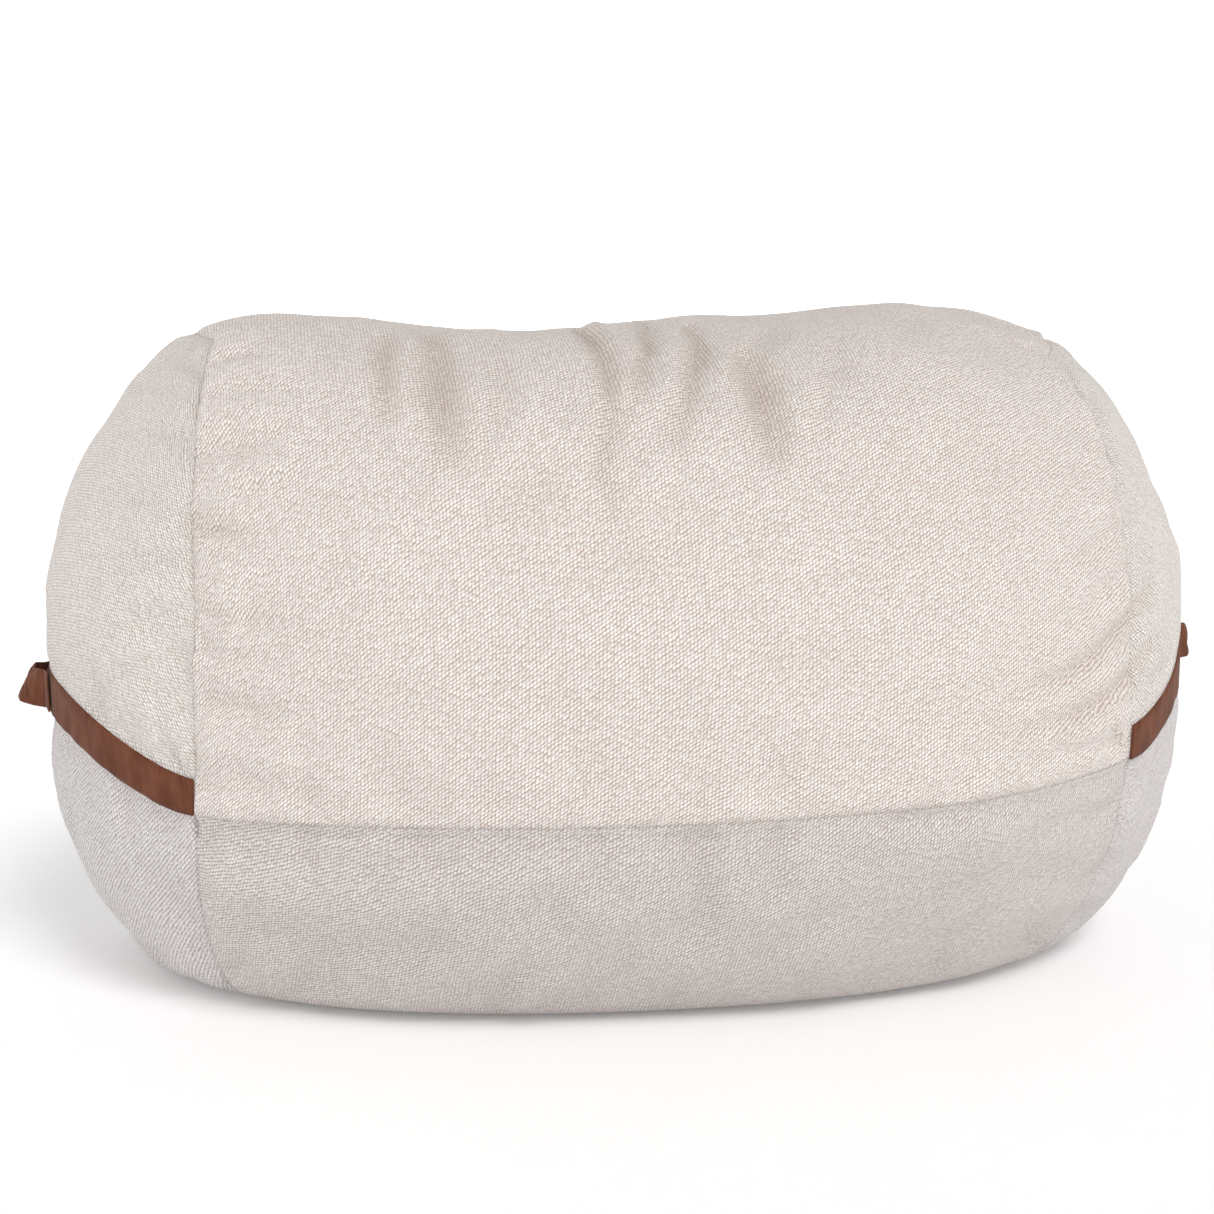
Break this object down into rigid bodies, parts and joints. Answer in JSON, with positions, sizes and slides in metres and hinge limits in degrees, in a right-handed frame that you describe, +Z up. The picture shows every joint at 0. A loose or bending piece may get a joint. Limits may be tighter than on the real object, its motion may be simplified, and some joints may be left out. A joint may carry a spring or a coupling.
{
  "type": "bean bag chair",
  "caption": "Wide bean bag lounger with a chunky woven cover, suede-look end bands with strap handles, a zipped base and a zipped inner liner holding loose foam.",
  "frame": {"origin": "on the floor under the middle of the bag's bounding box, handles included", "axes": "+X along the bag to the sitter's left when seated facing -Y, -Y the front, +Z up"},
  "size_m": [1.527, 1.0513, 0.803],
  "materials": {
    "woven_cover": "chunky woven chenille, warm off-white",
    "suede_strap": "matt brown suede look",
    "liner_cloth": "plain white polyester",
    "shredded_foam": "open-cell foam crumb",
    "zip_tape": "woven tape, beige",
    "zip_coil": "nylon coil",
    "zip_metal": "die-cast slider and stops",
    "label_satin": "white satin ribbon, blank"
  },
  "bodies": {
    "bag": {"main_panel": "woven_cover", "left_end_panel": "woven_cover", "right_end_panel": "woven_cover", "front_lower_panel": "woven_cover", "back_lower_panel": "woven_cover", "left_lower_panel": "woven_cover", "right_lower_panel": "woven_cover", "base_front_panel": "woven_cover", "base_rear_panel": "woven_cover", "left_band": "suede_strap", "right_band": "suede_strap", "left_handle_front_tab": "suede_strap", "left_handle_rear_tab": "suede_strap", "right_handle_front_tab": "suede_strap", "right_handle_rear_tab": "suede_strap", "cover_zip_front_tape": "zip_tape", "cover_zip_rear_tape": "zip_tape", "cover_zip_front_coil": "zip_coil", "cover_zip_rear_coil": "zip_coil", "cover_zip_top_stop": "zip_metal", "cover_zip_bottom_stop": "zip_metal", "liner": "liner_cloth", "liner_zip_front_tape": "zip_tape", "liner_zip_rear_tape": "zip_tape", "liner_zip_front_coil": "zip_coil", "liner_zip_rear_coil": "zip_coil", "liner_zip_top_stop": "zip_metal", "liner_zip_bottom_stop": "zip_metal", "foam_fill": "shredded_foam", "care_label": "label_satin"},
    "left_handle": {"left_handle": "suede_strap"},
    "right_handle": {"right_handle": "suede_strap"},
    "cover_zip_slider": {"cover_zip_slider": "zip_metal"},
    "liner_zip_slider": {"liner_zip_slider": "zip_metal"}
  },
  "joints": [
    {"name": "left_handle_lift", "type": "hinge", "parent": "bag", "child": "left_handle", "pos_m": [-0.72614, 0.04579, 0.36121], "axis": [-0.0472, 0.9978, -0.0469], "range_deg": [0, 60]},
    {"name": "right_handle_lift", "type": "hinge", "parent": "bag", "child": "right_handle", "pos_m": [0.71598, 0.04526, 0.38845], "axis": [-0.1371, -0.9896, 0.0439], "range_deg": [0, 60]},
    {"name": "cover_zip_slide", "type": "slide", "parent": "bag", "child": "cover_zip_slider", "axis": [-1, 0, 0], "range_m": [0, 0.87], "deforming": ["cover_zip_front_coil", "cover_zip_rear_coil"]},
    {"name": "liner_zip_slide", "type": "slide", "parent": "bag", "child": "liner_zip_slider", "axis": [-1, 0, 0], "range_m": [0, 0.57], "deforming": ["liner_zip_front_coil", "liner_zip_rear_coil"]}
  ]
}
